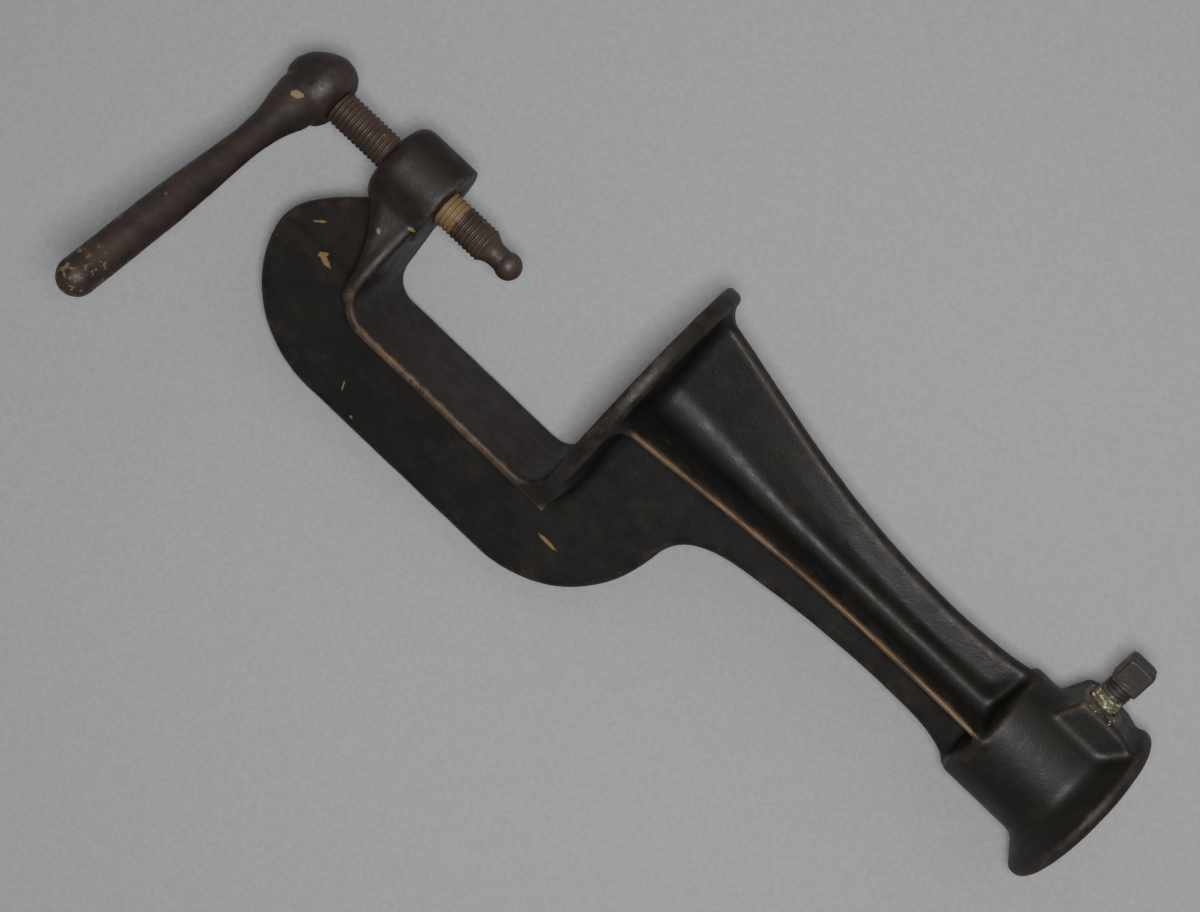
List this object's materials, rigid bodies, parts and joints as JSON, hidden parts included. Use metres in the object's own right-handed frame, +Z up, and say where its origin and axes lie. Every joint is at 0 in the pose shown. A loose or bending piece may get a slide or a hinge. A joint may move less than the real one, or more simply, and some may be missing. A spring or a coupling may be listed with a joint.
{
  "type": "apple peeler table clamp stand",
  "caption": "Cast-iron pedestal with a C-shaped table clamp, a post socket with a set screw, and a clamp screw turned by a club-shaped lever.",
  "frame": {"origin": "where the clamp screw's axis meets the flat underside of the round plate that rests on the table", "axes": "+Z up the pedestal to the post socket, +X from the clamp screw to the back of the C-shaped clamp, +Y completes the right-handed frame"},
  "size_m": [0.1715, 0.1838, 0.456],
  "materials": {
    "japanned_iron": "black japanning, worn to brown iron on the edges",
    "screw_steel": "brown rust patina over steel, with old grease",
    "lever_iron": "brown patina, smooth from handling",
    "set_screw_steel": "brown rust patina over steel"
  },
  "bodies": {
    "frame": {"clamp_frame": "japanned_iron"},
    "screw": {"clamp_screw": "screw_steel"},
    "lever": {"lever_handle": "lever_iron"},
    "locking_screw": {"set_screw": "set_screw_steel"}
  },
  "joints": [
    {"name": "screw_feed", "type": "slide", "parent": "frame", "child": "screw", "axis": [0, 0, 1], "range_m": [-0.0233, 0.013]},
    {"name": "lever_turn", "type": "hinge", "parent": "screw", "child": "lever", "pos_m": [0, 0, -0.1845], "axis": [0, 0, 1], "range_deg": [-3600, 1980]},
    {"name": "set_screw_feed", "type": "slide", "parent": "frame", "child": "locking_screw", "axis": [1, 0, 0], "range_m": [-0.0078, 0.0068]}
  ],
  "couplings": [
    {"joint": "screw_feed", "follows": "lever_turn", "m_per_rad": 0.00036749}
  ]
}
